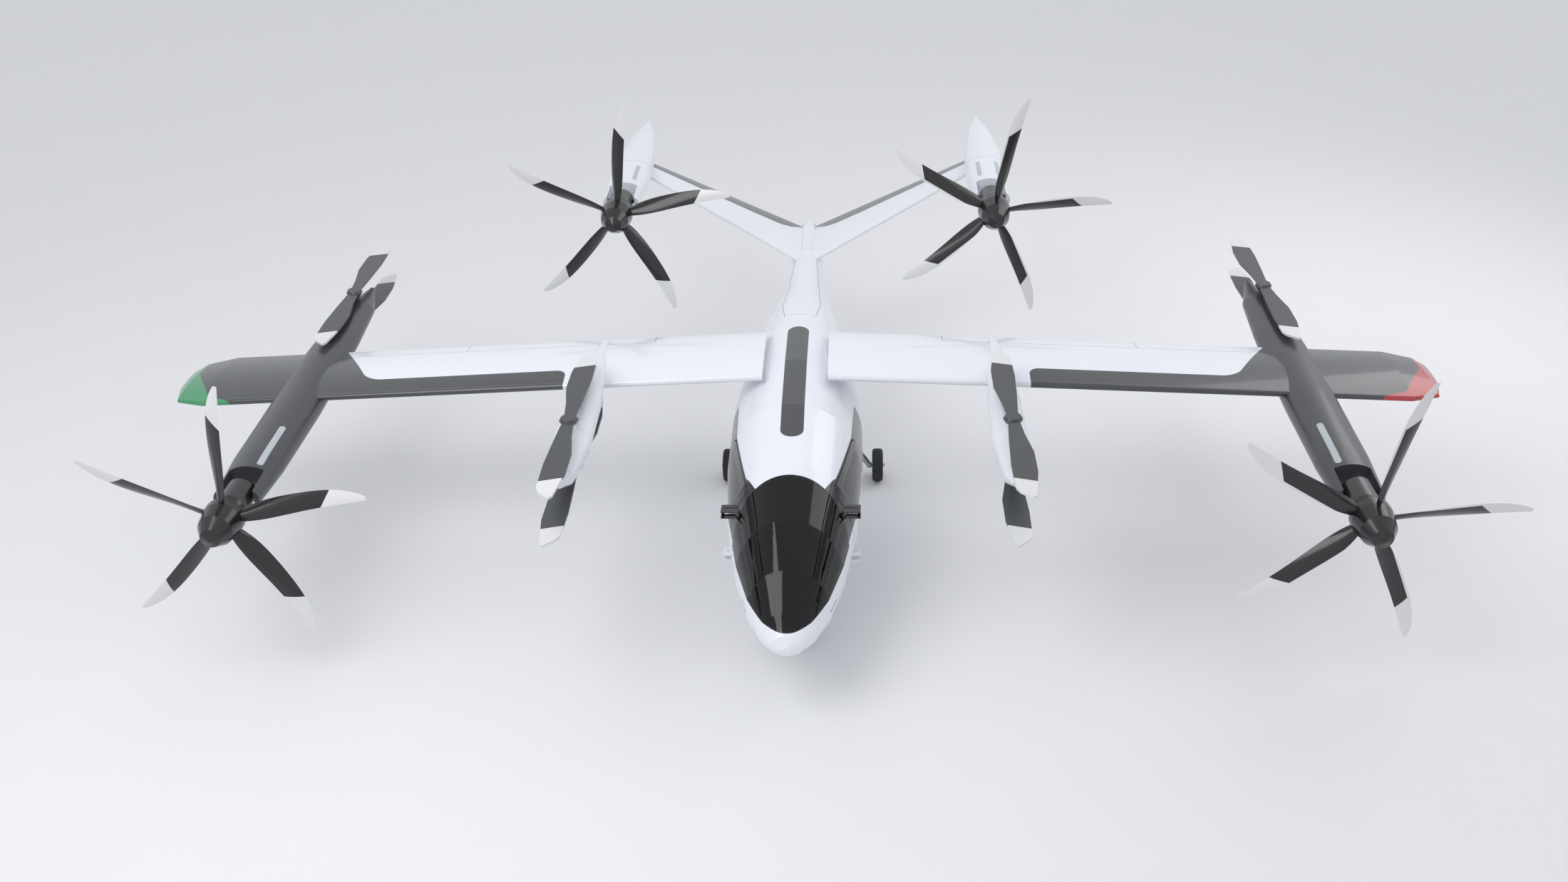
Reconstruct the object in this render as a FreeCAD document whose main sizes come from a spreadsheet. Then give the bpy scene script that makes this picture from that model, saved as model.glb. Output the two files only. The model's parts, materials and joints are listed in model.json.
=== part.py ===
import FreeCAD, Part
import math
import os
import Sketcher
from FreeCAD import Placement, Rotation, Vector

# Electric tilt-propeller aircraft: a hollow cabin under a high wing, a V-tail, four tilting
# five-blade propellers, eight two-blade lift rotors in coaxial pairs and a tricycle gear.
# Millimetres, +Z up, nose towards -Y, port side at +X, the origin on the ground at mid-length.

os.makedirs("parts", exist_ok=True)
doc = FreeCAD.newDocument("Aircraft")
sheet = doc.addObject("Spreadsheet::Sheet", "Sizes")

# alias, value in mm or degrees
SIZES = [
    ("overall_length", 11100),
    ("wing_span", 15000),
    ("wing_line_y", -1590),
    ("wing_line_height", 2000),
    ("running_gap", 12),
    ("seat_gap", 0.3),
    ("running_fit", 0.05),
    # cabin shell
    ("shell_wall", 30),
    ("glass_thickness", 12),
    ("bulkhead_station", 560),
    ("bulkhead_thickness", 30),
    ("battery_length", 900),
    ("battery_width", 560),
    ("battery_depth", 420),
    ("battery_base_height", -650),
    ("door_front_station", -2330),
    ("door_rear_station", -1130),
    ("door_sill_height", -1180),
    ("door_head_height", -150),
    ("door_corner_radius", 120),
    ("hinge_x", 740),
    ("hinge_ahead_of_door", 10),
    ("hinge_upper_height", -400),
    ("hinge_lower_height", -950),
    ("hinge_pin_radius", 8),
    ("hinge_barrel_radius", 17),
    ("hinge_barrel_length", 50),
    ("hinge_lug_thickness", 12),
    ("window_margin", 150),
    ("floor_height", -1130),
    ("floor_thickness", 40),
    # wing
    ("wing_chord", 1270),
    ("wing_tip_chord", 1010),
    ("wing_thickness", 165),
    ("wing_tip_thickness", 90),
    ("wing_lead_station", -620),
    ("wing_root_height", 330),
    ("wing_root_x", 380),
    ("tip_light_length", 90),
    # outer nacelle, with the tilting head ahead of it and the rear lift rotors on it
    ("nacelle_x", 5914),
    ("front_hub_station", -3098),
    ("front_hub_height", -22),
    ("rear_rotor_x", 5970),
    ("rear_rotor_station", 2100),
    ("rear_rotor_upper", 280),
    ("rear_rotor_lower", -155),
    # inner boom and its lift rotors
    ("boom_x", 2370),
    ("inner_rotor_station", -2100),
    ("inner_rotor_upper", 600),
    ("inner_rotor_lower", 40),
    # tail
    ("tail_hub_x", 2574),
    ("tail_hub_station", 3337),
    ("tail_hub_height", 871),
    ("tail_chord", 560),
    ("tail_root_chord", 1350),
    ("tail_thickness", 90),
    # tilting propellers
    ("propeller_radius", 1580),
    ("propeller_blades", 5),
    ("spinner_radius", 215),
    ("spinner_length", 440),
    ("spinner_depth", 90),
    ("pod_radius", 165),
    ("pod_length", 560),
    ("tilt_pivot_behind_hub", 520),
    ("pivot_pin_radius", 32),
    ("pivot_pin_length", 440),
    ("head_slot_width", 380),
    ("drive_shaft_radius", 42),
    ("drive_shaft_length", 70),
    # lift rotors
    ("rotor_radius", 1625),
    ("rotor_thickness", 26),
    ("rotor_hub_radius", 105),
    ("rotor_hub_depth", 70),
    ("mast_radius", 70),
    ("mast_clearance", 6),
    ("mast_shaft_radius", 26),
    ("mast_shaft_length", 46),
    # landing gear
    ("nose_wheel_station", -2560),
    ("nose_tyre_radius", 175),
    ("nose_tyre_width", 110),
    ("main_wheel_station", 1050),
    ("main_wheel_x", 980),
    ("main_tyre_radius", 215),
    ("main_tyre_width", 140),
    ("wheel_rim_share", 0.56),
    ("axle_radius", 18),
    ("strut_radius", 38),
    ("fork_gap", 8),
    ("tow_bore_radius", 10),
]
for row, (alias, value) in enumerate(SIZES, start=1):
    sheet.set("A%d" % row, alias)
    sheet.set("B%d" % row, str(value))
    sheet.setAlias("B%d" % row, alias)
doc.recompute()


def size(alias):
    return float(getattr(sheet, alias))


def cell(text):
    """An expression over the sheet: every alias in the text gets the sheet's name before it."""
    words = {alias for alias, _ in SIZES}
    out, word = "", ""
    for letter in text + " ":
        if letter.isalnum() or letter == "_":
            word += letter
            continue
        out += "Sizes." + word if word in words else word
        word = ""
        out += letter
    return out.strip()


NOSE = -size("overall_length") / 2 - size("wing_line_y")
TAIL_END = size("overall_length") / 2 - size("wing_line_y")
DATUM = Vector(0, size("wing_line_y"), size("wing_line_height"))
GROUND = -size("wing_line_height")
pieces = []


def at(x, station, height):
    """A point of the model from x, the station behind the wing line and the height over it."""
    return Vector(x, station, height) + DATUM


def keep(thing, label):
    thing.Label = label
    pieces.append(thing)
    return thing


def solid(label, shape, place=None):
    """A sub-part whose shape comes from lofted or cut solids."""
    thing = doc.addObject("Part::Feature", label)
    thing.Shape = shape
    if place:
        thing.Placement = place
    return keep(thing, label)


def plane_of(body, role):
    return [f for f in body.Origin.OriginFeatures if f.Role == role][0]


def new_body(label):
    body = doc.addObject("PartDesign::Body", label)
    return keep(body, label)


def new_sketch(body, name, role, offset=None):
    sketch = body.newObject("Sketcher::SketchObject", name)
    sketch.AttachmentSupport = [(plane_of(body, role), "")]
    sketch.MapMode = "FlatFace"
    if offset:
        sketch.setExpression("AttachmentOffset.Base.z", cell(offset))
    return sketch


def outline(sketch, points):
    """A closed outline of straight edges, each corner bound to a pair of expressions."""
    count = len(points)
    values = [(evaluate(u), evaluate(v)) for u, v in points]
    for i in range(count):
        start, end = values[i], values[(i + 1) % count]
        sketch.addGeometry(Part.LineSegment(Vector(*start, 0), Vector(*end, 0)), False)
    for i in range(count):
        sketch.addConstraint(Sketcher.Constraint("Coincident", i, 2, (i + 1) % count, 1))
    for i, (u, v) in enumerate(points):
        for kind, text, value in (("DistanceX", u, values[i][0]), ("DistanceY", v, values[i][1])):
            index = sketch.addConstraint(Sketcher.Constraint(kind, -1, 1, i, 1, value))
            sketch.setExpression("Constraints[%d]" % index, cell(text))


def evaluate(text):
    return float(doc.getObject("Sizes").evalExpression(cell(text).replace("Sizes.", "")))


def revolve(body, name, points, role="XZ_Plane", axis="V_Axis", cut=False):
    """A full turn of an outline about an axis of its sketch."""
    sketch = new_sketch(body, name + "Profile", role)
    outline(sketch, points)
    kind = "PartDesign::Groove" if cut else "PartDesign::Revolution"
    turn = body.newObject(kind, name)
    turn.Profile = sketch
    turn.ReferenceAxis = (sketch, [axis])
    turn.Angle = 360
    return turn


def pad(body, name, points, role, length, offset=None, cut=False, symmetric=False):
    sketch = new_sketch(body, name + "Profile", role, offset)
    outline(sketch, points)
    kind = "PartDesign::Pocket" if cut else "PartDesign::Pad"
    block = body.newObject(kind, name)
    block.Profile = sketch
    block.setExpression("Length", cell(length))
    block.Midplane = symmetric
    return block


# An oval of six tangent arcs: half-width, height above and below its widest line, and the
# radius of the flank above and below, so that an inset oval has the same centres.
def quadrant(half_width, rise, flank):
    crown = ((half_width - flank) ** 2 + rise ** 2 - flank ** 2) / (2 * (rise - flank))
    reach = math.hypot(half_width - flank, rise - crown)
    away = 1 if crown > flank else -1
    join_x = half_width - flank + away * flank * (half_width - flank) / reach
    join_z = 0 - away * flank * (rise - crown) / reach
    return crown, join_x, join_z


def oval(station, centre_x, centre_z, half_width, rise, drop, flank_up, flank_down, inset=0):
    crown, jx, jz = quadrant(half_width, rise, flank_up)
    keel, kx, kz = quadrant(half_width, drop, flank_down)
    top_centre, low_centre = rise - crown, -(drop - keel)
    up_centre, down_centre = half_width - flank_up, half_width - flank_down

    def pull(x, z, cx, cz):
        length = math.hypot(x - cx, z - cz)
        return cx + (x - cx) * (length - inset) / length, cz + (z - cz) * (length - inset) / length

    jx, jz = pull(jx, jz, up_centre, 0)
    kx, kz = pull(kx, -kz, down_centre, 0)
    side = half_width - inset

    def flank_mid(x, z, cx, radius):
        mid = math.atan2(z, x - cx) / 2
        return cx + radius * math.cos(mid), radius * math.sin(mid)

    ux, uz = flank_mid(jx, jz, up_centre, flank_up - inset)
    dx, dz = flank_mid(kx, kz, down_centre, flank_down - inset)

    def v(x, z):
        return at(centre_x + x, station, centre_z + z)

    edges = [
        Part.Arc(v(-jx, jz), v(0, rise - inset), v(jx, jz)).toShape(),
        Part.Arc(v(jx, jz), v(ux, uz), v(side, 0)).toShape(),
        Part.Arc(v(side, 0), v(dx, dz), v(kx, kz)).toShape(),
        Part.Arc(v(kx, kz), v(0, -drop + inset), v(-kx, kz)).toShape(),
        Part.Arc(v(-kx, kz), v(-dx, dz), v(-side, 0)).toShape(),
        Part.Arc(v(-side, 0), v(-ux, uz), v(-jx, jz)).toShape(),
    ]
    return Part.Wire(edges)


def loft_ovals(table, inset=0, centre_x=0):
    """Rows: station, centre height, half-width, rise, drop, flank above, flank below."""
    wires = [oval(r[0], centre_x, *r[1:], inset=inset) for r in table]
    return Part.makeLoft(wires, True, True)


def block(x0, x1, y0, y1, z0, z1):
    return Part.makeBox(x1 - x0, y1 - y0, z1 - z0, at(x0, y0, z0))


def mirrored(shape):
    return shape.mirror(Vector(0, 0, 0), Vector(1, 0, 0))


def rounded_prism(corners, radius, x0, x1):
    """A prism along X over an outline of (station, height) corners with rounded vertical edges."""
    points = [at(x0, y, z) for y, z in corners]
    face = Part.Face(Part.makePolygon(points + points[:1]))
    prism = face.extrude(Vector(x1 - x0, 0, 0))
    along = [e for e in prism.Edges if abs(e.tangentAt(e.FirstParameter).x) > 0.99]
    return prism.makeFillet(radius, along)


# Fuselage: station, height of the widest line, half-width, rise, drop, flank up, flank down
FUSELAGE = [
    (NOSE, -1060, 40, 36, 36, 30, 30),
    (NOSE + 60, -1055, 170, 130, 118, 110, 100),
    (NOSE + 230, -1035, 300, 275, 215, 235, 180),
    (NOSE + 560, -1000, 450, 540, 340, 640, 290),
    (NOSE + 1060, -920, 590, 750, 490, 900, 430),
    (NOSE + 1760, -800, 715, 890, 650, 1080, 560),
    (NOSE + 2760, -650, 780, 960, 810, 1150, 900),
    (NOSE + 3760, -560, 780, 940, 860, 1100, 960),
    (NOSE + 4760, -420, 670, 780, 800, 900, 900),
    (NOSE + 5760, -260, 480, 510, 620, 600, 700),
    (NOSE + 6700, -180, 305, 300, 420, 260, 480),
    (NOSE + 7700, -130, 235, 210, 300, 180, 330),
    (NOSE + 9000, -20, 120, 105, 140, 90, 160),
]
wall = size("shell_wall")
outer = loft_ovals(FUSELAGE)
inner_rows = [r for r in FUSELAGE if NOSE + 50 < r[0] < NOSE + 6000]
inner = loft_ovals(inner_rows, inset=wall)
lining = loft_ovals(inner_rows, inset=wall + size("seat_gap"))
print("fuselage loft", outer.isValid(), inner.isValid(), outer.Volume / 1e9, inner.Volume / 1e9)
shell = outer.cut(inner)

# The door of one side, cut from the shell with a gap all round
door_corners = [
    (size("door_front_station"), size("door_sill_height")),
    (size("door_rear_station"), size("door_sill_height")),
    (size("door_rear_station"), size("door_head_height")),
    (size("door_front_station"), size("door_head_height")),
]


def grown(corners, by):
    (y0, z0), (y1, z1) = corners[0], corners[2]
    return [(y0 - by, z0 - by), (y1 + by, z0 - by), (y1 + by, z1 + by), (y0 - by, z1 + by)]


corner = size("door_corner_radius")
gap = size("running_gap")
door_prism = rounded_prism(door_corners, corner, 100, 1000)
hole_prism = rounded_prism(grown(door_corners, gap), corner + gap, 100, 1000)
window_corners = [
    (size("door_front_station") + size("window_margin"), -640),
    (size("door_rear_station") - size("window_margin"), -640),
    (size("door_rear_station") - size("window_margin"), size("door_head_height") - size("window_margin") / 2),
    (size("door_front_station") + size("window_margin"), size("door_head_height") - size("window_margin") / 2),
]
window_prism = rounded_prism(window_corners, corner * 0.6, 100, 1000)
pane_prism = rounded_prism(grown(window_corners, -size("seat_gap")), corner * 0.6, 100, 1000)

# The windscreen: all of the shell ahead of the roof border and above the nose
glass_region = Part.Face(Part.makePolygon([
    at(-1000, NOSE + 95, -905), at(-1000, NOSE + 1380, -700), at(-1000, -2230, 300),
    at(-1000, NOSE - 100, 300), at(-1000, NOSE - 100, -905), at(-1000, NOSE + 95, -905)]))
glass_region = glass_region.extrude(Vector(2000, 0, 0))
windscreen = shell.common(glass_region)
hull = shell.cut(glass_region).cut(hole_prism).cut(mirrored(hole_prism))
door = shell.common(door_prism).cut(window_prism)
pane = shell.common(pane_prism)

# Door hinges: on the shell two lugs with a pin between them, on the door a barrel and its arm
hinge_y = size("door_front_station") - size("hinge_ahead_of_door")
hinge_x = size("hinge_x")
barrel_r = size("hinge_barrel_radius")
pin_r = size("hinge_pin_radius")
half_barrel = size("hinge_barrel_length") / 2
lug_gap = 5
lug_top = half_barrel + lug_gap + size("hinge_lug_thickness")
lug_root = 560


def hinge_plate(corners, height, thickness, bow):
    """A plate ending in a half round about the pin; bow is -1 for a forward half, 1 for a rear one."""
    start, end = at(hinge_x + barrel_r, hinge_y, height), at(hinge_x - barrel_r, hinge_y, height)
    points = [end] + [at(x, y, height) for x, y in corners] + [start]
    edges = [Part.Arc(start, at(hinge_x, hinge_y + bow * barrel_r, height), end).toShape()]
    edges += [Part.LineSegment(a, b).toShape() for a, b in zip(points, points[1:])]
    return Part.Face(Part.Wire(edges)).extrude(Vector(0, 0, thickness))


lug_corners = [(hinge_x - barrel_r, hinge_y - gap), (lug_root, hinge_y - gap), (lug_root, hinge_y - 90),
               (hinge_x + barrel_r, hinge_y - 90)]
arm_corners = [(hinge_x - barrel_r, hinge_y + 30), (lug_root, hinge_y + 30), (lug_root, hinge_y + 90),
               (hinge_x + barrel_r, hinge_y + 90)]
lug_thick = size("hinge_lug_thickness")
for height in (size("hinge_upper_height"), size("hinge_lower_height")):
    pin = Part.makeCylinder(pin_r, 2 * lug_top - 4, at(hinge_x, hinge_y, height - lug_top + 2))
    bracket = pin
    for low in (-lug_top, half_barrel + lug_gap):
        bracket = bracket.fuse(hinge_plate(lug_corners, height + low, lug_thick, 1).cut(inner))
    hull = hull.fuse(bracket).fuse(mirrored(bracket))
    arm = hinge_plate(arm_corners, height - half_barrel, 2 * half_barrel, -1).cut(inner)
    bore = Part.makeCylinder(pin_r + size("running_fit"), 2 * lug_top, at(hinge_x, hinge_y, height - lug_top))
    door = door.fuse(arm).cut(bore)
    print("hinge", hull.isValid(), door.isValid(), len(hull.Solids), len(door.Solids))

solid("fuselage", hull)
solid("windscreen", windscreen)
for side, flip in (("port", False), ("starboard", True)):
    solid("door_" + side, mirrored(door) if flip else door)
    solid("door_window_" + side, mirrored(pane) if flip else pane)

bulkhead_front = size("bulkhead_station")
bulkhead_back = bulkhead_front + size("bulkhead_thickness")
floor = lining.common(block(-900, 900, NOSE + 900, bulkhead_front - size("seat_gap"),
                            size("floor_height") - size("floor_thickness"), size("floor_height")))
solid("cabin_floor", floor)
bulkhead = lining.common(block(-900, 900, bulkhead_front, bulkhead_back, -2000, 1000))
solid("cabin_bulkhead", bulkhead)
battery_low = size("battery_base_height")
battery = block(-size("battery_width") / 2, size("battery_width") / 2, bulkhead_back + size("seat_gap"),
                bulkhead_back + size("battery_length"), battery_low, battery_low + size("battery_depth"))
solid("battery_pack", battery)


# Wing: airfoil of a nose arc, two long arcs and a blunt trailing edge
def airfoil(x, lead, chord, height, thickness, tilt=0):
    nose_r = thickness * 0.30
    upper = thickness * 0.62
    lower = thickness * 0.38

    def v(along, up):
        return at(x, lead + along, height + up)

    top0, low0 = v(nose_r * 1.1, upper * 0.52), v(nose_r * 1.1, -lower * 0.52)
    tail_up, tail_low = v(chord, thickness * 0.035), v(chord, -thickness * 0.035)
    return Part.Wire([
        Part.Arc(low0, v(0, 0), top0).toShape(),
        Part.Arc(top0, v(chord * 0.42, upper), tail_up).toShape(),
        Part.LineSegment(tail_up, tail_low).toShape(),
        Part.Arc(tail_low, v(chord * 0.42, -lower), low0).toShape(),
    ])


half = size("wing_span") / 2
light = size("tip_light_length")
lead = size("wing_lead_station")


def wing_height(x):
    root_x = size("wing_root_x")
    return size("wing_root_height") * (half - x) / (half - root_x)


wing_sections = [
    airfoil(size("wing_root_x"), lead, size("wing_chord"), wing_height(size("wing_root_x")), size("wing_thickness")),
    airfoil(half - 420, lead, size("wing_chord"), wing_height(half - 420), size("wing_thickness") * 0.8),
]
tip_sections = [
    wing_sections[1],
    airfoil(half - light, lead + 110, size("wing_tip_chord"), wing_height(half - light), size("wing_tip_thickness")),
]
light_sections = [
    airfoil(half - light + size("seat_gap"), lead + 110, size("wing_tip_chord"), wing_height(half - light),
            size("wing_tip_thickness")),
    airfoil(half, lead + 430, size("wing_tip_chord") - 500, wing_height(half), size("wing_tip_thickness") * 0.35),
]
wing = Part.makeLoft(wing_sections, True, True).fuse(Part.makeLoft(tip_sections, True, True)).removeSplitter()
tip = Part.makeLoft(light_sections, True, True)
wing = wing.cut(outer)
for side, flip in (("port", False), ("starboard", True)):
    solid("wing_" + side, mirrored(wing) if flip else wing)
    solid("tip_light_" + side, mirrored(tip) if flip else tip)

# Outer nacelle: it carries the wing's outer bay, a tilting head and two lift rotors
slot = size("head_slot_width") / 2
pivot_front = size("front_hub_station") + size("tilt_pivot_behind_hub")
pivot_tail = size("tail_hub_station") + size("tilt_pivot_behind_hub")
NACELLE = [
    (pivot_front - 130, -22, 250, 160, 160, 120, 120),
    (-2000, -15, 290, 190, 190, 150, 150),
    (-700, 0, 300, 200, 185, 160, 150),
    (300, 25, 295, 180, 130, 145, 105),
    (1100, 45, 265, 150, 105, 120, 84),
    (2000, 55, 205, 115, 100, 92, 80),
    (2660, 70, 40, 34, 34, 28, 28),
]
INNER_BOOM = [
    (-2950, 300, 60, 50, 50, 42, 42),
    (-2800, 300, 150, 110, 120, 90, 100),
    (-2200, 300, 215, 150, 170, 120, 130),
    (-1200, 290, 190, 150, 170, 120, 130),
    (-300, 290, 130, 110, 120, 90, 100),
    (500, 290, 40, 34, 34, 28, 28),
]
TAIL_NACELLE = [
    (pivot_tail - 130, 871, 250, 165, 165, 125, 125),
    (4600, 880, 300, 190, 190, 150, 150),
    (5600, 900, 270, 165, 165, 130, 130),
    (6500, 940, 165, 100, 100, 80, 80),
    (TAIL_END, 965, 36, 30, 30, 24, 24),
]


def pivot_cuts(centre_x, pivot, height):
    """The slot that a tilting head swings in and the bore of its pin."""
    reach = size("pod_length") - size("tilt_pivot_behind_hub") + size("pod_radius") + 60
    opening = block(centre_x - slot, centre_x + slot, pivot - 400, pivot + reach, height - 400, height + 400)
    bore = Part.makeCylinder(size("pivot_pin_radius") + size("seat_gap"), size("pivot_pin_length"),
                             at(centre_x - size("pivot_pin_length") / 2, pivot, height), Vector(1, 0, 0))
    return opening.fuse(bore)


def rotor_clear(centre_x, station, height):
    """Room for a lift rotor's hub where it passes through a fairing."""
    radius = size("rotor_hub_radius") + size("running_gap")
    depth = size("rotor_hub_depth") + 2 * size("running_gap")
    return Part.makeCylinder(radius, depth, at(centre_x, station, height - depth / 2))


def mast(centre_x, station, low, high):
    """The fixed mast between the two rotors of a pair; each hub turns just beyond its end."""
    reach = size("rotor_hub_depth") / 2 + size("mast_clearance")
    return Part.makeCylinder(size("mast_radius"), high - low - 2 * reach, at(centre_x, station, low + reach))


def mast_bores(centre_x, station, low, high):
    """The bores at both ends of a mast that the rotors' shafts turn in."""
    radius = size("mast_shaft_radius") + size("running_fit")
    deep = size("rotor_hub_depth") / 2 + size("mast_shaft_length") + size("mast_clearance")
    return Part.makeCylinder(radius, deep, at(centre_x, station, low)).fuse(
        Part.makeCylinder(radius, deep, at(centre_x, station, high - deep)))


nacelle = loft_ovals(NACELLE, centre_x=size("nacelle_x"))
nacelle = nacelle.cut(pivot_cuts(size("nacelle_x"), pivot_front, size("front_hub_height")))
nacelle = nacelle.fuse(mast(size("rear_rotor_x"), size("rear_rotor_station"), size("rear_rotor_lower"),
                            size("rear_rotor_upper")))
nacelle = nacelle.cut(mast_bores(size("rear_rotor_x"), size("rear_rotor_station"), size("rear_rotor_lower"),
                                 size("rear_rotor_upper")))
wing_bay = Part.makeLoft(wing_sections, True, True)
nacelle_clean = nacelle.cut(wing_bay)
boom = loft_ovals(INNER_BOOM, centre_x=size("boom_x"))
boom = boom.fuse(mast(size("boom_x"), size("inner_rotor_station"), size("inner_rotor_lower"),
                      size("inner_rotor_upper")))
boom = boom.cut(mast_bores(size("boom_x"), size("inner_rotor_station"), size("inner_rotor_lower"),
                           size("inner_rotor_upper")))
boom_clean = boom.cut(wing_bay)
for side, flip in (("port", False), ("starboard", True)):
    solid("outer_nacelle_" + side, mirrored(nacelle_clean) if flip else nacelle_clean)
    solid("inner_boom_" + side, mirrored(boom_clean) if flip else boom_clean)


# V-tail with its nacelle
def tail_section(x, lead_station, chord, height, thickness):
    return airfoil(x, lead_station, chord, height, thickness)


tail_nacelle = loft_ovals(TAIL_NACELLE, centre_x=size("tail_hub_x"))
tail_nacelle = tail_nacelle.cut(pivot_cuts(size("tail_hub_x"), pivot_tail, size("tail_hub_height")))
tail_surface = Part.makeLoft([
    tail_section(80, 3640, size("tail_root_chord"), 10, size("tail_thickness") * 1.2),
    tail_section(size("tail_hub_x"), 5210, size("tail_chord"), 860, size("tail_thickness")),
], True, True)
tail_clean = tail_surface.cut(outer).cut(tail_nacelle)
for side, flip in (("port", False), ("starboard", True)):
    solid("tail_nacelle_" + side, mirrored(tail_nacelle) if flip else tail_nacelle)
    solid("tail_surface_" + side, mirrored(tail_clean) if flip else tail_clean)


# Tilting heads: a motor pod on a cross pin, in its own frame with the pin at the origin
def tilt_head(label, place):
    body = new_body(label)
    revolve(body, "Motor", [
        ("0", "-pod_radius * 0.6"),
        ("pod_radius * 0.8", "-pod_radius * 0.6"),
        ("pod_radius", "-pod_radius * 0.2"),
        ("pod_radius", "tilt_pivot_behind_hub - 200"),
        ("pod_radius * 0.82", "tilt_pivot_behind_hub - spinner_depth - mast_clearance"),
        ("drive_shaft_radius + running_fit", "tilt_pivot_behind_hub - spinner_depth - mast_clearance"),
        ("drive_shaft_radius + running_fit",
         "tilt_pivot_behind_hub - spinner_depth - 2 * mast_clearance - drive_shaft_length"),
        ("0", "tilt_pivot_behind_hub - spinner_depth - 2 * mast_clearance - drive_shaft_length"),
    ], role="XZ_Plane", axis="V_Axis")
    pin = new_sketch(body, "PinProfile", "YZ_Plane", "-pivot_pin_length / 2 + seat_gap")
    ring = pin.addGeometry(Part.Circle(Vector(0, 0, 0), Vector(0, 0, 1), size("pivot_pin_radius")), False)
    pin.addConstraint(Sketcher.Constraint("Coincident", ring, 3, -1, 1))
    index = pin.addConstraint(Sketcher.Constraint("Radius", ring, size("pivot_pin_radius")))
    pin.setExpression("Constraints[%d]" % index, cell("pivot_pin_radius"))
    bar = body.newObject("PartDesign::Pad", "Pin")
    bar.Profile = pin
    bar.setExpression("Length", cell("pivot_pin_length - 2 * seat_gap"))
    body.Placement = place


# Five-blade propeller: spinner and blades about its own axis, local +Z pointing forward
def propeller(label, place, hand):
    body = new_body(label)
    revolve(body, "Spinner", [
        ("0", "-spinner_depth - drive_shaft_length"),
        ("drive_shaft_radius", "-spinner_depth - drive_shaft_length"),
        ("drive_shaft_radius", "-spinner_depth"),
        ("spinner_radius * 0.9", "-spinner_depth"),
        ("spinner_radius", "-spinner_depth * 0.6"),
        ("spinner_radius", "spinner_depth * 0.5"),
        ("spinner_radius * 0.86", "spinner_length * 0.55"),
        ("spinner_radius * 0.5", "spinner_length * 0.88"),
        ("0", "spinner_length"),
    ])
    # radius share, chord, sweep of the middle, thickness, pitch in degrees
    blade_rows = [
        (0.11, 120, 0, 60, 52),
        (0.30, 205, 20, 38, 40),
        (0.62, 190, 30, 24, 27),
        (0.86, 140, 0, 15, 20),
        (1.00, 45, -55, 6, 17),
    ]
    sections = []
    for number, (share, chord, sweep, thick, pitch) in enumerate(blade_rows):
        sketch = new_sketch(body, "BladeSection%d" % number, "YZ_Plane",
                            "propeller_radius * %g" % share)
        turn = math.radians(pitch) * hand
        across = Vector(math.cos(turn), math.sin(turn), 0)
        up = Vector(-math.sin(turn), math.cos(turn), 0)
        middle = across * sweep
        lead_p = middle - across * chord / 2
        trail_p = middle + across * chord / 2
        sketch.addGeometry([
            Part.Arc(lead_p, middle + up * thick * 0.6, trail_p),
            Part.Arc(trail_p, middle - up * thick * 0.4, lead_p),
        ], False)
        sketch.addConstraint(Sketcher.Constraint("Coincident", 0, 2, 1, 1))
        sections.append(sketch)
    loft = body.newObject("PartDesign::AdditiveLoft", "Blade")
    loft.Profile = sections[0]
    loft.Sections = sections[1:]
    loft.Ruled = False
    doc.recompute()
    pattern = body.newObject("PartDesign::PolarPattern", "Blades")
    pattern.Originals = [loft]
    pattern.Axis = (plane_of(body, "Z_Axis"), [""])
    pattern.Angle = 360
    pattern.setExpression("Occurrences", cell("propeller_blades"))
    body.Tip = pattern
    body.Placement = place


FORWARD = Rotation(Vector(1, 0, 0), 90)
HEADS = [
    ("front_port", size("nacelle_x"), size("front_hub_station"), size("front_hub_height"), 12.83, 1),
    ("front_starboard", -size("nacelle_x"), size("front_hub_station"), size("front_hub_height"), 6.75, -1),
    ("tail_port", size("tail_hub_x"), size("tail_hub_station"), size("tail_hub_height"), 12.98, 1),
    ("tail_starboard", -size("tail_hub_x"), size("tail_hub_station"), size("tail_hub_height"), 6.77, -1),
]
for name, x, station, height, phase, hand in HEADS:
    pivot_point = at(x, station + size("tilt_pivot_behind_hub"), height)
    tilt_head("tilt_head_" + name, Placement(pivot_point, FORWARD))
    spin = Rotation(Vector(0, 1, 0), phase - 90) * FORWARD
    propeller("propeller_" + name, Placement(at(x, station, height), spin), hand)


# Two-blade lift rotor: a hub and two paddle blades in the horizontal plane
def lift_rotor(label, place):
    body = new_body(label)
    revolve(body, "Hub", [
        ("0", "-rotor_hub_depth / 2 - mast_shaft_length"),
        ("mast_shaft_radius", "-rotor_hub_depth / 2 - mast_shaft_length"),
        ("mast_shaft_radius", "-rotor_hub_depth / 2"),
        ("rotor_hub_radius * 0.8", "-rotor_hub_depth / 2"),
        ("rotor_hub_radius", "0"),
        ("rotor_hub_radius * 0.8", "rotor_hub_depth / 2"),
        ("0", "rotor_hub_depth / 2"),
    ])
    half_plan = [
        ("-55", "0"),
        ("-90", "rotor_radius * 0.22"),
        ("-150", "rotor_radius * 0.45"),
        ("-150", "rotor_radius * 0.70"),
        ("-95", "rotor_radius * 0.97"),
        ("-60", "rotor_radius"),
        ("60", "rotor_radius * 0.93"),
        ("95", "rotor_radius * 0.88"),
        ("105", "rotor_radius * 0.60"),
        ("85", "rotor_radius * 0.30"),
        ("55", "0"),
    ]
    blade = pad(body, "Blade", half_plan, "XY_Plane", "rotor_thickness", symmetric=True)
    doc.recompute()
    pattern = body.newObject("PartDesign::PolarPattern", "Blades")
    pattern.Originals = [blade]
    pattern.Axis = (plane_of(body, "Z_Axis"), [""])
    pattern.Angle = 360
    pattern.Occurrences = 2
    body.Tip = pattern
    body.Placement = place


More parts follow.
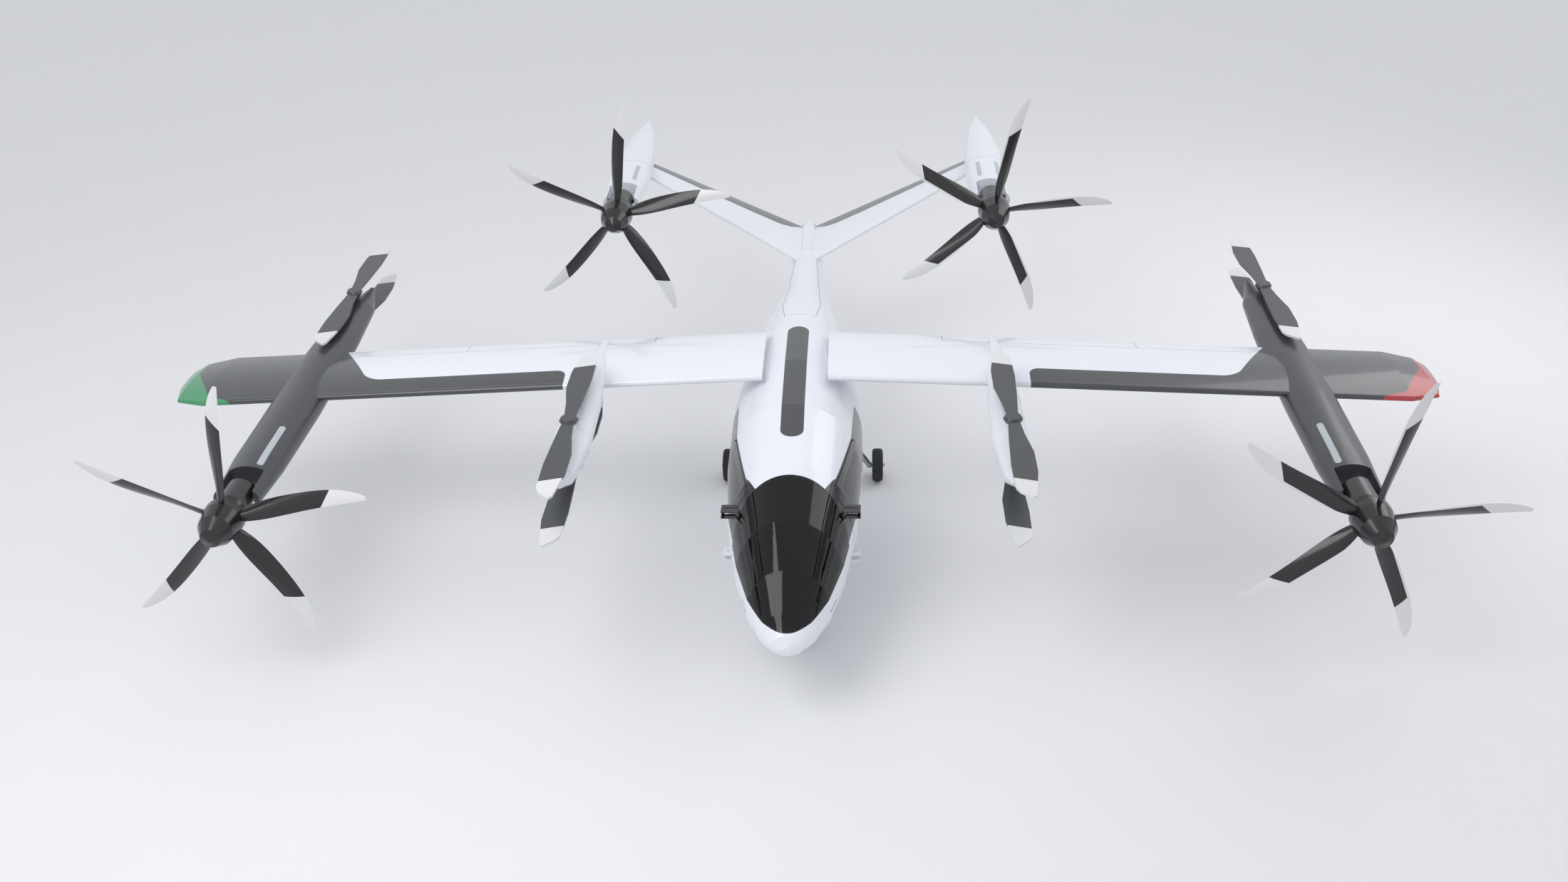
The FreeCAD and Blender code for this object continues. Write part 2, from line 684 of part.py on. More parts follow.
# An upper rotor's shaft points down into its mast and a lower rotor's up, turned over
PAIRS = [
    ("inner_rotor", size("boom_x"), size("inner_rotor_station")),
    ("rear_rotor", size("rear_rotor_x"), size("rear_rotor_station")),
]
for side, sign in (("port", 1), ("starboard", -1)):
    for level, over in (("upper", 0), ("lower", 180)):
        for name, x, station in PAIRS:
            centre = at(sign * x, station, size("%s_%s" % (name, level)))
            lift_rotor("%s_%s_%s" % (name, level, side), Placement(centre, Rotation(Vector(0, 1, 0), over)))


# Landing gear
def tyre(label, radius, width, place):
    body = new_body(label)
    rim = "%s * wheel_rim_share" % radius
    w = width
    revolve(body, "Tread", [
        (rim, "-%s * 0.38" % w),
        ("%s * 0.80" % radius, "-%s / 2" % w),
        ("%s * 0.93" % radius, "-%s * 0.46" % w),
        (radius, "-%s * 0.28" % w),
        (radius, "%s * 0.28" % w),
        ("%s * 0.93" % radius, "%s * 0.46" % w),
        ("%s * 0.80" % radius, "%s / 2" % w),
        (rim, "%s * 0.38" % w),
    ])
    body.Placement = place


def wheel(label, radius, width, place):
    body = new_body(label)
    revolve(body, "Rim", [
        ("axle_radius + running_fit", "-%s * 0.42" % width),
        ("axle_radius + 30", "-%s * 0.42" % width),
        ("axle_radius + 36", "-%s * 0.15" % width),
        ("%s * wheel_rim_share - 16" % radius, "-%s * 0.15" % width),
        ("%s * wheel_rim_share - 10" % radius, "-%s * 0.38" % width),
        ("%s * wheel_rim_share" % radius, "-%s * 0.38" % width),
        ("%s * wheel_rim_share" % radius, "%s * 0.38" % width),
        ("%s * wheel_rim_share - 10" % radius, "%s * 0.38" % width),
        ("%s * wheel_rim_share - 16" % radius, "%s * 0.15" % width),
        ("axle_radius + 36", "%s * 0.15" % width),
        ("axle_radius + 30", "%s * 0.42" % width),
        ("axle_radius + running_fit", "%s * 0.42" % width),
    ])
    body.Placement = place


ACROSS = Rotation(Vector(0, 1, 0), 90)
nose_centre = at(0, size("nose_wheel_station"), GROUND + size("nose_tyre_radius"))
tyre("nose_tyre", "nose_tyre_radius", "nose_tyre_width", Placement(nose_centre, ACROSS))
wheel("nose_wheel", "nose_tyre_radius", "nose_tyre_width", Placement(nose_centre, ACROSS))

# Nose fork: two legs beside the tyre, a crown over it and a stem in the strut's sleeve
fork_in = size("nose_tyre_width") / 2 + size("fork_gap")
fork_thick = 16
fork_crown_z = GROUND + 2 * size("nose_tyre_radius") + 20
nose_y = size("nose_wheel_station")
fork = block(-fork_in - fork_thick, fork_in + fork_thick, nose_y - 32, nose_y + 32, fork_crown_z, fork_crown_z + 30)
for sign in (1, -1):
    x0, x1 = sorted((sign * fork_in, sign * (fork_in + fork_thick)))
    fork = fork.fuse(block(x0, x1, nose_y - 28, nose_y + 28, GROUND + size("nose_tyre_radius") - 34, fork_crown_z + 30))
axle = Part.makeCylinder(size("axle_radius"), 2 * (fork_in + fork_thick),
                         at(-fork_in - fork_thick, nose_y, GROUND + size("nose_tyre_radius")), Vector(1, 0, 0))
tow_bore = Part.makeCylinder(size("tow_bore_radius"), 2 * (fork_in + fork_thick) + 20,
                             at(-fork_in - fork_thick - 10, nose_y, GROUND + size("nose_tyre_radius")), Vector(1, 0, 0))
stem = Part.makeCylinder(size("strut_radius") - 14, 115, at(0, nose_y, fork_crown_z + 30))
fork = fork.fuse(axle).fuse(stem).cut(tow_bore).removeSplitter()
solid("nose_fork", fork)
sleeve_low = fork_crown_z + 30 + size("mast_clearance")
belly = outer
sleeve = Part.makeCylinder(size("strut_radius"), 700, at(0, nose_y, sleeve_low))
sleeve = sleeve.cut(Part.makeCylinder(size("strut_radius") - 14 + size("running_fit"), 120, at(0, nose_y, sleeve_low)))
sleeve = sleeve.cut(belly)
sleeve = max(sleeve.Solids, key=lambda s: s.Volume if s.CenterOfMass.z < at(0, 0, -1300).z else 0)
solid("nose_strut", sleeve)

main_y = size("main_wheel_station")
main_z = GROUND + size("main_tyre_radius")
for side, sign in (("port", 1), ("starboard", -1)):
    centre = at(sign * size("main_wheel_x"), main_y, main_z)
    tyre("main_tyre_" + side, "main_tyre_radius", "main_tyre_width", Placement(centre, ACROSS))
    wheel("main_wheel_" + side, "main_tyre_radius", "main_tyre_width", Placement(centre, ACROSS))
leg_in = size("main_wheel_x") - size("main_tyre_width") / 2 - size("fork_gap")
foot = at(leg_in - 30, main_y, main_z)
hip = at(250, main_y, -900)
leg = Part.makeCone(52, 36, (foot - hip).Length, hip, foot - hip)
leg = leg.fuse(Part.makeSphere(42, foot))
leg = leg.fuse(Part.makeCylinder(size("axle_radius"), size("main_tyre_width") + 60, foot, Vector(1, 0, 0)))
leg = leg.cut(belly)
leg = max(leg.Solids, key=lambda s: s.Volume)
for side, flip in (("port", False), ("starboard", True)):
    solid("main_leg_" + side, mirrored(leg) if flip else leg)

doc.recompute()
bad = [o.Name for o in doc.Objects if "Invalid" in o.State or "Error" in o.State]
for piece in pieces:
    if piece.Shape.isNull() or not piece.Shape.isValid():
        bad.append(piece.Label)
if bad:
    raise RuntimeError("failed: %s" % bad)
for piece in pieces:
    piece.Shape.exportStep("parts/%s.step" % piece.Label)
    box = piece.Shape.BoundBox
    print("%-28s %2d solids %8.4f m3  x %6.0f..%6.0f y %6.0f..%6.0f z %6.0f..%6.0f" % (
        piece.Label, len(piece.Shape.Solids), piece.Shape.Volume / 1e9,
        box.XMin, box.XMax, box.YMin, box.YMax, box.ZMin, box.ZMax))
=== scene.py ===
import bpy
import json
import math
from mathutils import Matrix, Vector

# The looks of an electric tilt-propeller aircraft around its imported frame.
# Metres, +Z up, the nose towards -Y, the port wing towards +X.
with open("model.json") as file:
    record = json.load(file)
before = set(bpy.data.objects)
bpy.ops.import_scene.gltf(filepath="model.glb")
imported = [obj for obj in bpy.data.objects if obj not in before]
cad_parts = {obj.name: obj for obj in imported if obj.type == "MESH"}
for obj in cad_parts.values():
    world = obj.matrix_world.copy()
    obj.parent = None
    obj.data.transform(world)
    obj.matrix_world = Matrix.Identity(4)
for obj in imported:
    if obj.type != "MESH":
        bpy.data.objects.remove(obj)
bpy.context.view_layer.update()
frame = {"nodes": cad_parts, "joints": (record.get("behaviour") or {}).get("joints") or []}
nodes = frame["nodes"]
scene = bpy.context.scene
scene.view_settings.view_transform = "Standard"

JOINTS = {joint["name"]: joint for joint in frame["joints"]}
SIDES = (("port", 1), ("starboard", -1))
# Stations and heights below run from the wing line, as in the part's own sizes
WING_LINE = Vector((0, -1.590, 2.000))

WHITE = (0.79, 0.81, 0.86)
CHARCOAL = (0.050, 0.053, 0.057)
GLOSS_BLACK = (0.010, 0.010, 0.011)
SEAM = (0.16, 0.165, 0.175)
TIP_WHITE = (0.74, 0.74, 0.74)
STRIP_GREY = (0.46, 0.50, 0.53)
LENS_RED = (0.42, 0.035, 0.04)
LENS_GREEN = (0.035, 0.27, 0.11)


# Noise scales of the slow change of shade and of the uneven gloss
CLOUD_SCALE, GLOSS_SCALE = 1.3, 9.0


class Value:
    """A number at each point of a surface; plain arithmetic on it adds the nodes."""

    def __init__(self, graph, socket):
        self.graph = graph
        self.socket = socket

    def __add__(self, other):
        return self.graph.calc("ADD", self, other)

    def __sub__(self, other):
        return self.graph.calc("SUBTRACT", self, other)

    def __rsub__(self, other):
        return self.graph.calc("SUBTRACT", other, self)

    def __mul__(self, other):
        return self.graph.calc("MULTIPLY", self, other)

    def __abs__(self):
        return self.graph.calc("ABSOLUTE", self)

    def at_least(self, other):
        return self.graph.calc("MAXIMUM", self, other)

    def at_most(self, other):
        return self.graph.calc("MINIMUM", self, other)

    def over(self, edge, soft=0.002):
        """0 below the edge and 1 over it, with a narrow ramp between."""
        ramp = self.graph.node("ShaderNodeMapRange", interpolation_type="SMOOTHSTEP")
        self.graph.link(self, ramp.inputs["Value"])
        self.graph.link(edge - soft, ramp.inputs["From Min"])
        self.graph.link(edge + soft, ramp.inputs["From Max"])
        return Value(self.graph, ramp.outputs["Result"])

    def under(self, edge, soft=0.002):
        return 1 - self.over(edge, soft)

    def spread(self, low, high):
        """From 0..1 to low..high."""
        made = self.graph.node("ShaderNodeMapRange")
        self.graph.link(self, made.inputs["Value"])
        made.inputs["To Min"].default_value = low
        made.inputs["To Max"].default_value = high
        return Value(self.graph, made.outputs["Result"])

    def along(self, points):
        """A value read from straight runs through a few points (input, output)."""
        xs, ys = zip(*points)
        low_x, span_x = min(xs), max(xs) - min(xs)
        low_y, span_y = min(ys), max(ys) - min(ys)
        made = self.graph.node("ShaderNodeFloatCurve")
        line = made.mapping.curves[0]
        scaled = [((x - low_x) / span_x, (y - low_y) / span_y) for x, y in points]
        line.points[0].location, line.points[-1].location = scaled[0], scaled[-1]
        for point in scaled[1:-1]:
            line.points.new(*point)
        for point in line.points:
            point.handle_type = "VECTOR"
        made.mapping.update()
        self.graph.link((self - low_x) * (1 / span_x), made.inputs["Value"])
        return Value(self.graph, made.outputs[0]) * span_y + low_y


class Paint:
    """One material: a base colour with layers over it, uneven gloss and a fine bump."""

    def __init__(self, name, colour, rough=0.28, coat=0.5, metallic=0.0):
        self.material = bpy.data.materials.new(name)
        self.material.use_nodes = True
        self.tree = self.material.node_tree
        self.shader = self.tree.nodes["Principled BSDF"]
        self.colour = colour
        self.rough = rough
        self.shader.inputs["Coat Weight"].default_value = coat
        self.shader.inputs["Coat Roughness"].default_value = 0.08
        self.shader.inputs["Metallic"].default_value = metallic
        self.place = self.node("ShaderNodeTexCoord").outputs["Object"]
        split = self.node("ShaderNodeSeparateXYZ")
        self.tree.links.new(self.place, split.inputs[0])
        row = [Value(self, split.outputs[i]) for i in range(3)]
        self.x = row[0]
        self.y = row[1] - WING_LINE.y
        self.z = row[2] - WING_LINE.z

    def node(self, kind, **settings):
        made = self.tree.nodes.new(kind)
        for key, value in settings.items():
            setattr(made, key, value)
        return made

    def link(self, source, target):
        if isinstance(source, Value):
            self.tree.links.new(source.socket, target)
        elif isinstance(source, tuple):
            target.default_value = (*source, 1)
        else:
            target.default_value = source

    def calc(self, operation, *values):
        made = self.node("ShaderNodeMath", operation=operation)
        for number, value in enumerate(values):
            self.link(value, made.inputs[number])
        return Value(self, made.outputs[0])

    def length(self, first, second):
        return self.calc("SQRT", first * first + second * second)

    def to_line(self, u, v, start, end):
        """Distance of (u, v) from a straight run between two points."""
        across, up = end[0] - start[0], end[1] - start[1]
        share = ((u - start[0]) * across + (v - start[1]) * up) * (1 / (across ** 2 + up ** 2))
        share = share.at_least(0.0).at_most(1.0)
        return self.length(u - start[0] - share * across, v - start[1] - share * up)

    def noise(self, scale, detail=3.0):
        made = self.node("ShaderNodeTexNoise")
        self.tree.links.new(self.place, made.inputs["Vector"])
        made.inputs["Scale"].default_value = scale
        made.inputs["Detail"].default_value = detail
        return Value(self, made.outputs["Fac"])

    def mix(self, share, first, second):
        made = self.node("ShaderNodeMix", data_type="RGBA")
        self.link(share, made.inputs["Factor"])
        for socket, value in (("A", first), ("B", second)):
            target = [s for s in made.inputs if s.name == socket and s.type == "RGBA"][0]
            self.link(value, target)
        return Value(self, [s for s in made.outputs if s.type == "RGBA"][0])

    def layer(self, mask, colour):
        self.colour = self.mix(mask, self.colour, colour)

    def finish(self, variation=0.04, grain=60.0, depth=0.000002):
        cloud = self.noise(CLOUD_SCALE, 4.0)
        shade = self.mix(1.0, self.colour, self.colour)
        shade.socket.node.blend_type = "MULTIPLY"
        low = 1 - variation
        target = [s for s in shade.socket.node.inputs if s.name == "B" and s.type == "RGBA"][0]
        self.tree.links.new(self.mix(cloud, (1.0, 1.0, 1.0), (low, low, low)).socket, target)
        self.link(shade, self.shader.inputs["Base Color"])
        self.link(self.noise(GLOSS_SCALE, 4.0).spread(self.rough * 0.8, self.rough * 1.2),
                  self.shader.inputs["Roughness"])
        bump = self.node("ShaderNodeBump")
        bump.inputs["Strength"].default_value = 0.1
        bump.inputs["Distance"].default_value = depth
        self.link(self.noise(grain, 2.0), bump.inputs["Height"])
        self.tree.links.new(bump.outputs[0], self.shader.inputs["Normal"])
        return self.material


def plain(name, colour, rough=0.28, coat=0.5, metallic=0.0, **grain):
    return Paint(name, colour, rough, coat, metallic).finish(**grain)


# Side view of the dark band round the glazing: station and height of its lower and upper edge
BAND_LOW = [(-3.90, -0.89), (-3.81, -0.865), (-3.69, -0.83), (-3.50, -0.79), (-3.20, -0.735),
            (-2.90, -0.70), (-2.65, -0.67), (-2.17, -0.60), (-1.83, -0.575), (-0.85, -0.545),
            (-0.36, -0.52)]
BAND_TOP = [(-3.90, 0.60), (-1.62, 0.60), (-1.60, -0.12), (-1.40, -0.09), (-1.20, -0.02),
            (-1.00, 0.00), (-0.62, -0.03), (-0.44, -0.10), (-0.36, -0.40)]
BAND_START, BAND_END = -3.86, -0.37
# Plan view of the white roof's front border: |x| and station
ROOF_ARCH = [(0.0, -2.69), (0.18, -2.63), (0.36, -2.40), (0.50, -2.10), (0.58, -1.75), (0.64, -1.30)]
ROOF_RAIL = -0.12


def dark_band(coat):
    above = (coat.z - coat.y.along(BAND_LOW)).over(0.0)
    below = (coat.z - coat.y.along(BAND_TOP)).under(0.0)
    ahead = (coat.y - abs(coat.x).along(ROOF_ARCH)).under(0.0).at_least(coat.z.under(ROOF_RAIL))
    return above * below * ahead * coat.y.under(BAND_END) * coat.y.over(BAND_START)


def circle_through(a, b, c):
    """Centre and radius of the circle through three points of a plan view."""
    (ax, ay), (bx, by), (cx, cy) = a, b, c
    turn = 2 * (ax * (by - cy) + bx * (cy - ay) + cx * (ay - by))
    aa, bb, cc = ax * ax + ay * ay, bx * bx + by * by, cx * cx + cy * cy
    x = (aa * (by - cy) + bb * (cy - ay) + cc * (ay - by)) / turn
    y = (aa * (cx - bx) + bb * (ax - cx) + cc * (bx - ax)) / turn
    return x, y, math.hypot(ax - x, ay - y)


# Plan view of the windscreen's lower edge: two arcs that meet at one station, for |x|
SCREEN_NOSE = circle_through((0.0, -3.806), (0.126, -3.754), (0.254, -3.623))
SCREEN_SIDE = circle_through((0.254, -3.623), (0.373, -3.417), (0.476, -3.148))
SCREEN_JOIN = -3.623
# The light strip outside that edge: where it begins and ends, its last station and lowest height
STRIP_NEAR, STRIP_FAR, STRIP_LAST, STRIP_LOW = 0.008, 0.024, -3.15, -0.90


def screen_strip(coat):
    """The light strip that follows the windscreen's edge round the nose."""
    side = abs(coat.x)
    away = []
    for centre_x, centre_y, radius in (SCREEN_NOSE, SCREEN_SIDE):
        away.append(coat.length(side - centre_x, coat.y - centre_y) - radius)
    nose = coat.y.under(SCREEN_JOIN)
    distance = away[0] * nose + away[1] * (1 - nose)
    width = distance.over(STRIP_NEAR) * distance.under(STRIP_FAR)
    return width * coat.y.under(STRIP_LAST) * coat.z.over(STRIP_LOW)


# Plan view of the roof: a rounded charcoal strip with its half-width, and a slot with a rim
ROOF_STRIP = ((0, -1.61), (0, 0.63), 0.13)
SLOT = ((0, -2.56), (0, -2.42))
SLOT_RIM, SLOT_HALF_WIDTH = 0.017, 0.009
# The rear hatch's seam, from its front corner to its tail, for |x|; a cross seam at its third point
HATCH = [(0.197, 1.23), (0.245, 1.745), (0.137, 4.01), (0.085, 5.15)]
HATCH_SEAM = 0.0035
# Side view of a slit low on each side of the nose: station and height
NOSE_SLIT = ((-3.42, -0.965), (-3.21, -0.945))
SLIT_HALF_WIDTH, SLIT_INNER = 0.007, 0.3
# Masks of the upper side reach down to these heights
HULL_TOP, WING_TOP = -0.30, 0.0
SEAM_SOFT = 0.0015


def roof_strip(coat, top):
    start, end, half_width = ROOF_STRIP
    coat.layer(coat.to_line(coat.x, coat.y, start, end).under(half_width) * top, CHARCOAL)


def body_paint():
    coat = Paint("body_white", WHITE)
    top = coat.z.over(HULL_TOP)
    side = abs(coat.x)
    coat.layer(dark_band(coat), GLOSS_BLACK)
    coat.layer(screen_strip(coat), TIP_WHITE)
    roof_strip(coat, top)
    slot = coat.to_line(coat.x, coat.y, *SLOT)
    coat.layer(slot.under(SLOT_RIM) * top, SEAM)
    coat.layer(slot.under(SLOT_HALF_WIDTH) * top, TIP_WHITE)
    lines = coat.to_line(side, coat.y, (0.0, HATCH[0][1]), HATCH[0])
    for start, end in zip(HATCH, HATCH[1:]):
        lines = lines.at_most(coat.to_line(side, coat.y, start, end))
    lines = lines.at_most(coat.to_line(side, coat.y, (0.0, HATCH[2][1]), HATCH[2]))
    coat.layer(lines.under(HATCH_SEAM, SEAM_SOFT) * top, SEAM)
    slit = coat.to_line(coat.y, coat.z, *NOSE_SLIT)
    coat.layer(slit.under(SLIT_HALF_WIDTH) * side.over(SLIT_INNER), GLOSS_BLACK)
    return coat.finish()


# Charcoal on the wing: the corner and slope of its inner border, and the strip on the lead edge
WING_BORDER = (5.26, -0.085, 1.8)
STRIP_BORDER = -0.31
STRIP_END = (2.84, -0.43, 0.12)
CORNER = 0.15
# The lamp's border on the wing tip: a point on each of three straight runs, with x per metre aft
TIP_RUNS = [(6.74, -0.62, 2.42), (7.03, -0.50, 0.551), (7.375, 0.13, 0.02)]
# The flaps' seam: its station, its ends, the x of its two cuts and the station where they end
FLAP_Y, FLAP_INNER, FLAP_OUTER = 0.40, 1.75, 5.46
FLAP_CUTS = [FLAP_INNER, 4.09]
FLAP_AFT = 0.70
FLAP_SEAM = 0.004


def wing_paint(side_name, lens):
    coat = Paint("wing_white_" + side_name, WHITE)
    side = abs(coat.x)
    y = coat.y
    x0, y0, slope = WING_BORDER
    tilt = math.hypot(1, 1 / slope)
    outward = (side - x0 - (y - y0) * (1 / slope)) * (1 / tilt)
    forward = STRIP_BORDER - y
    past_slope, past_front = (outward + CORNER).at_least(0.0), (forward + CORNER).at_least(0.0)
    white = coat.length(past_slope, past_front).under(CORNER)
    end_x, end_y, end_radius = STRIP_END
    strip = coat.length((end_x - side).at_least(0.0), (y - end_y).at_least(0.0)).under(end_radius)
    strip = strip.at_least(side.over(end_x))
    flaps = coat.to_line(side, y, (FLAP_INNER, FLAP_Y), (FLAP_OUTER, FLAP_Y))
    for cut in FLAP_CUTS:
        flaps = flaps.at_most(coat.to_line(side, y, (cut, FLAP_Y), (cut, FLAP_AFT)))
    coat.layer(flaps.under(FLAP_SEAM, SEAM_SOFT), SEAM)
    coat.layer((1 - white) * strip, CHARCOAL)
    roof_strip(coat, coat.z.over(WING_TOP))
    beyond = None
    for run_x, run_y, lean in TIP_RUNS:
        away = (side - run_x - (y - run_y) * lean) * (1 / math.hypot(1, lean))
        beyond = away if beyond is None else beyond.at_least(away)
    coat.layer(beyond.over(0.0), lens)
    return coat.finish()


# The charcoal strip of the tail surfaces lies aft of this line: |x| and station
TAIL_BORDER = [(0.10, 4.93), (0.253, 4.760), (0.408, 4.730), (0.795, 4.85), (1.57, 5.14),
               (2.60, 5.52)]


def tail_paint():
    coat = Paint("tail_white", WHITE)
    coat.layer((coat.y - abs(coat.x).along(TAIL_BORDER)).over(0.0), CHARCOAL)
    return coat.finish()


# Rounded strips along a nacelle's top: x from its middle, first and last station, half-width
OUTER_NACELLE_X, TAIL_NACELLE_X = 5.93, 2.574
OUTER_STRIPS = [(-0.14, -2.22, -1.46, 0.034), (0.265, -2.19, -1.41, 0.022)]
TAIL_STRIPS = [(-0.13, 4.30, 4.80, 0.03), (0.13, 4.30, 4.80, 0.03)]
TAIL_SEAM_Y, TAIL_SEAM = 5.02, 0.004


def nacelle_strips(coat, centre_x, places):
    side = abs(coat.x) - centre_x
    top = coat.z.over(WING_TOP)
    for x, front, back, half_width in places:
        near = coat.to_line(side, coat.y, (x, front), (x, back))
        coat.layer(near.under(half_width) * top, STRIP_GREY)


def nacelle_paint():
    coat = Paint("nacelle_charcoal", CHARCOAL, rough=0.34, coat=0.25)
    nacelle_strips(coat, OUTER_NACELLE_X, OUTER_STRIPS)
    return coat.finish(variation=0.10)


def tail_nacelle_paint():
    coat = Paint("tail_nacelle_white", WHITE)
    nacelle_strips(coat, TAIL_NACELLE_X, TAIL_STRIPS)
    coat.layer(abs(coat.y - TAIL_SEAM_Y).under(TAIL_SEAM, SEAM_SOFT), SEAM)
    return coat.finish()


BLADE_STEP = math.radians(72)
# Of each blade: the white end's border and slant, and the lead strip's edge and first radius
TIP_BORDER = (1.1295, 0.883)
LEAD_STRIP = (0.086, 0.36)


def propeller_paint(name, hub, phase, lead_side):
    """Near-black blades with white ends cut at a slant and a white strip on the lead edge."""
    coat = Paint(name, GLOSS_BLACK, rough=0.24, coat=0.3)
    across = coat.x - hub.x
    up = coat.z - (hub.z - WING_LINE.z)
    turn = coat.calc("ARCTAN2", across, up) - math.radians(phase) + BLADE_STEP / 2
    turn = coat.calc("FLOORED_MODULO", turn, BLADE_STEP) - BLADE_STEP / 2
    radius = coat.length(across, up)
    out = radius * coat.calc("COSINE", turn)
    lead = radius * coat.calc("SINE", turn) * lead_side
    border, slant = TIP_BORDER
    coat.layer((out + lead * slant).over(border), TIP_WHITE)
    edge, start = LEAD_STRIP
    coat.layer(lead.over(edge) * out.over(start), TIP_WHITE)
    return coat.finish(variation=0.1)


# The white end's border and slant
ROTOR_TIP = (1.28, 0.3)


def rotor_paint(name, hub, lead_side):
    """Charcoal paddle blades with white ends cut at a slant."""
    coat = Paint(name, CHARCOAL, rough=0.36, coat=0.2)
    along = coat.y - (hub.y - WING_LINE.y)
    slant = (coat.x - hub.x) * coat.calc("SIGN", along) * lead_side
    border, lean = ROTOR_TIP
    coat.layer((abs(along) + slant * lean).over(border), TIP_WHITE)
    return coat.finish(variation=0.1)


def glass(name, colour, rough=0.03):
    coat = Paint(name, colour, rough, coat=0.0)
    coat.shader.inputs["Transmission Weight"].default_value = 1.0
    coat.shader.inputs["IOR"].default_value = 1.42
    return coat.finish(variation=0.05, depth=0.000005)


def dress(name, material):
    piece = nodes[name]
    piece.data.materials.clear()
    piece.data.materials.append(material)


body = body_paint()
tail = tail_paint()
tail_nacelle = tail_nacelle_paint()
nacelle = nacelle_paint()
booms = plain("boom_white", WHITE)
trim = plain("cabin_trim", (0.035, 0.035, 0.037), rough=0.55, coat=0.0, grain=140.0, depth=0.0006)
battery_case = plain("battery_case", (0.2, 0.21, 0.22), rough=0.5, coat=0.1)
steel = plain("gear_steel", (0.45, 0.46, 0.48), rough=0.35, metallic=1.0, coat=0.0)
alloy = plain("wheel_alloy", (0.62, 0.63, 0.65), rough=0.3, metallic=1.0, coat=0.0)
rubber = plain("tyre_rubber", (0.02, 0.02, 0.021), rough=0.75, coat=0.0, grain=140.0, depth=0.001)
motor_black = plain("motor_black", (0.013, 0.013, 0.014), rough=0.3, coat=0.4)
wings = {"port": wing_paint("port", LENS_RED), "starboard": wing_paint("starboard", LENS_GREEN)}
lamps = {"port": plain("lens_red", LENS_RED, rough=0.15, coat=1.0),
         "starboard": plain("lens_green", LENS_GREEN, rough=0.15, coat=1.0)}
canopy_glass = glass("canopy_glass", (0.055, 0.058, 0.062))
side_glass = glass("side_glass", (0.10, 0.105, 0.11))

# Turn of the first blade from straight up, towards +X, in degrees
PHASES = {"front_port": 12.83, "front_starboard": 6.75, "tail_port": 12.98, "tail_starboard": 6.77}
for place, phase in PHASES.items():
    hub = Vector(JOINTS["spin_" + place]["pos_m"])
    lead_side = -1 if place.endswith("port") else 1
    dress("propeller_" + place, propeller_paint("blades_" + place, hub, phase, lead_side))
    dress("tilt_head_" + place, motor_black)
for side, sign in SIDES:
    for kind in ("inner", "rear"):
        for level in ("upper", "lower"):
            name = "%s_rotor_%s_%s" % (kind, level, side)
            dress(name, rotor_paint(name + "_paint", Vector(JOINTS["spin_" + name]["pos_m"]), sign))
    dress("wing_" + side, wings[side])
    dress("tip_light_" + side, lamps[side])
    dress("outer_nacelle_" + side, nacelle)
    dress("inner_boom_" + side, booms)
    dress("tail_nacelle_" + side, tail_nacelle)
    dress("tail_surface_" + side, tail)
    dress("door_" + side, body)
    dress("door_window_" + side, side_glass)
    dress("main_leg_" + side, steel)
    dress("main_wheel_" + side, alloy)
    dress("main_tyre_" + side, rubber)
for names, material in (
        (("fuselage",), body), (("windscreen",), canopy_glass), (("battery_pack",), battery_case),
        (("cabin_floor", "cabin_bulkhead"), trim),
        (("nose_fork", "nose_strut"), steel), (("nose_wheel",), alloy), (("nose_tyre",), rubber)):
    for name in names:
        dress(name, material)

# Smooth shading where two faces meet at a shallow angle
SMOOTH_BELOW = math.radians(32)
for piece in nodes.values():
    piece.data.polygons.foreach_set("use_smooth", [True] * len(piece.data.polygons))
    piece.data.set_sharp_from_angle(angle=SMOOTH_BELOW)


FLOOR_SIZE = 400
# Soft lamps: name, place, the point they face, width and power
LAMPS = [("key_light", (-7, -9, 13), (0, 0, 2), 9, 800),
         ("fill_light", (11, 4, 10), (0, 0, 2), 9, 380)]


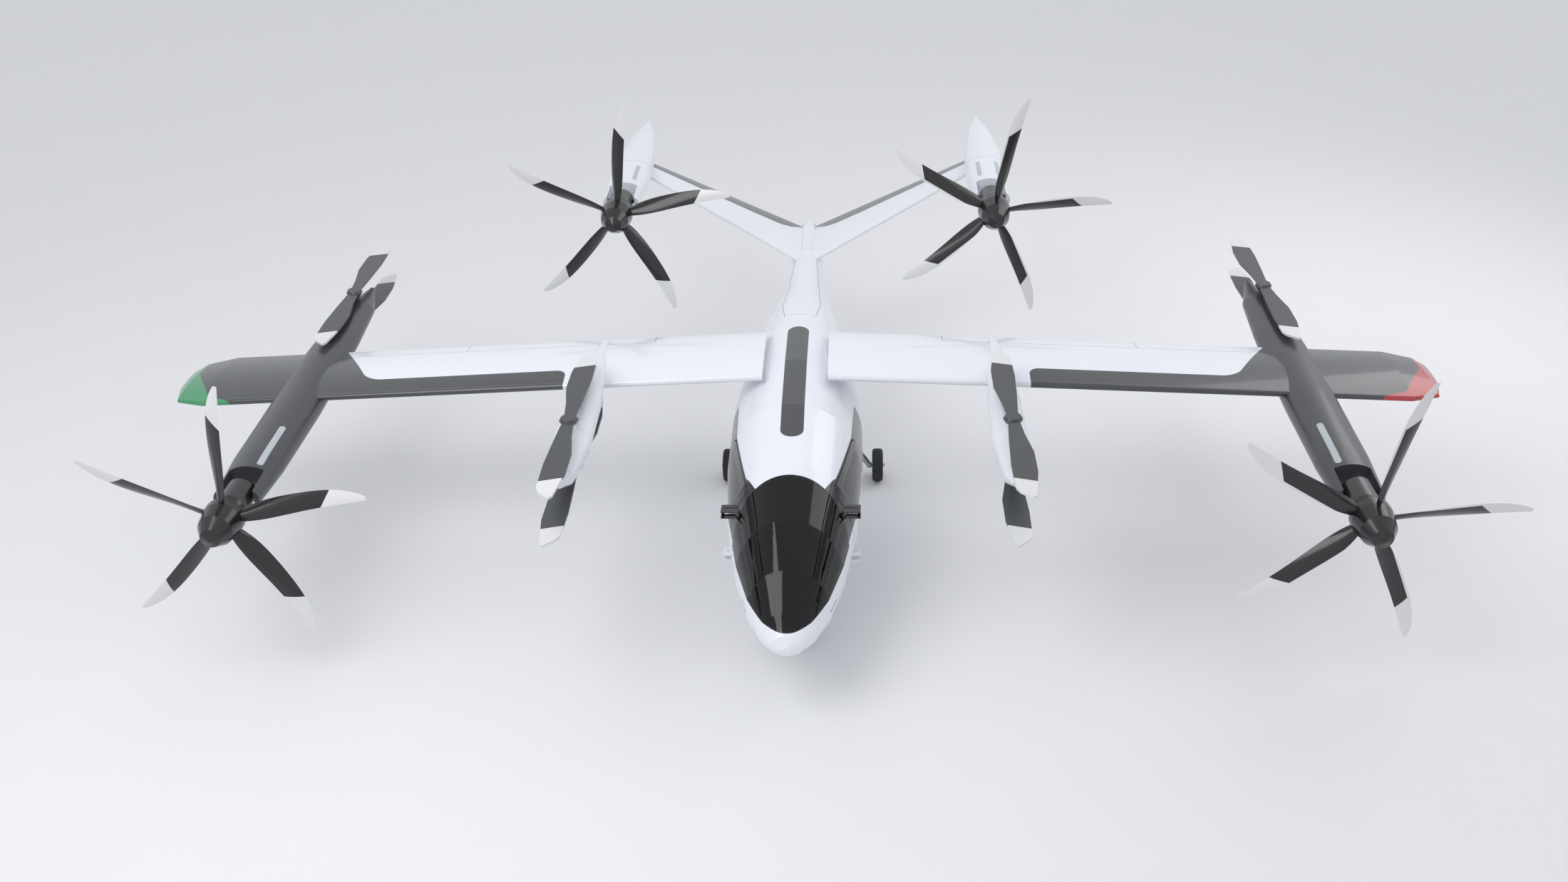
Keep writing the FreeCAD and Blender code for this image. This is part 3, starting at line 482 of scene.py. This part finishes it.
def floor_and_light():
    bpy.ops.mesh.primitive_plane_add(size=FLOOR_SIZE, location=(0, 0, 0))
    floor = bpy.context.object
    floor.name = "floor"
    coat = Paint("floor_paint", (0.80, 0.80, 0.81), rough=0.9, coat=0.0)
    floor.data.materials.append(coat.finish(variation=0.02))
    world = bpy.data.worlds.new("studio")
    scene.world = world
    world.use_nodes = True
    background = world.node_tree.nodes["Background"]
    background.inputs["Color"].default_value = (0.90, 0.92, 0.96, 1)
    background.inputs["Strength"].default_value = 0.85
    for name, place, aim, width, power in LAMPS:
        lamp = bpy.data.objects.new(name, bpy.data.lights.new(name, "AREA"))
        lamp.data.size = width
        lamp.data.energy = power
        lamp.location = place
        lamp.rotation_mode = "QUATERNION"
        lamp.rotation_quaternion = (Vector(aim) - Vector(place)).to_track_quat("-Z", "Y")
        scene.collection.objects.link(lamp)


# The camera's place and turns were fitted to the photograph
CAMERA_PLACE = Vector((0.7519, -18.1459, 10.4116))
CAMERA_YAW, CAMERA_PITCH, CAMERA_ROLL = (math.radians(a) for a in (-3.2315, 29.1508, -1.7312))
FOCAL_PIXELS, IMAGE_WIDTH, SENSOR = 2165.17, 2200, 36.0


def photo_camera():
    yaw, pitch, roll = CAMERA_YAW, CAMERA_PITCH, CAMERA_ROLL
    level = math.cos(pitch)
    forward = Vector((math.sin(yaw) * level, math.cos(yaw) * level, -math.sin(pitch)))
    right = Vector((math.cos(yaw), -math.sin(yaw), 0))
    up = right.cross(forward)
    cosine, sine = math.cos(roll), math.sin(roll)
    right, up = right * cosine + up * sine, up * cosine - right * sine
    camera = bpy.data.objects.new("camera", bpy.data.cameras.new("camera"))
    camera.data.sensor_width = SENSOR
    camera.data.lens = SENSOR * FOCAL_PIXELS / IMAGE_WIDTH
    camera.matrix_world = Matrix((
        (right.x, up.x, -forward.x, CAMERA_PLACE.x),
        (right.y, up.y, -forward.y, CAMERA_PLACE.y),
        (right.z, up.z, -forward.z, CAMERA_PLACE.z),
        (0, 0, 0, 1)))
    scene.collection.objects.link(camera)
    scene.camera = camera


floor_and_light()
photo_camera()
